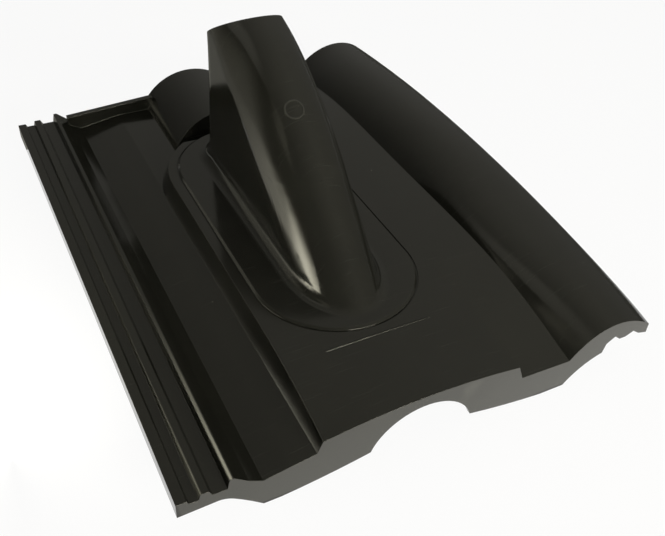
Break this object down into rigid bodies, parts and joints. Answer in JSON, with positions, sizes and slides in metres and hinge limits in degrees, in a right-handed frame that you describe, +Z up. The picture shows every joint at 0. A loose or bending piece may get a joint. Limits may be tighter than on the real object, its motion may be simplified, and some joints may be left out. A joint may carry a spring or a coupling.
{
  "type": "antenna roof tile",
  "caption": "Moulded plastic roof tile with interlocking side ribs, a raised platform and a hollow leaning hood that a mast comes out through.",
  "frame": {"origin": "middle of the tile's footprint, on the ground that the front skirt and the nibs stand on", "axes": "+Z up, away from the roof; +Y up the roof slope, from the front skirt towards the back edge with the nibs; +X to the right seen from the front, from the ribbed edge towards the roll"},
  "size_m": [0.33, 0.42, 0.1711],
  "materials": {
    "black_plastic": "satin-gloss moulded black"
  },
  "bodies": {
    "root": {"tile": "black_plastic"}
  },
  "joints": []
}
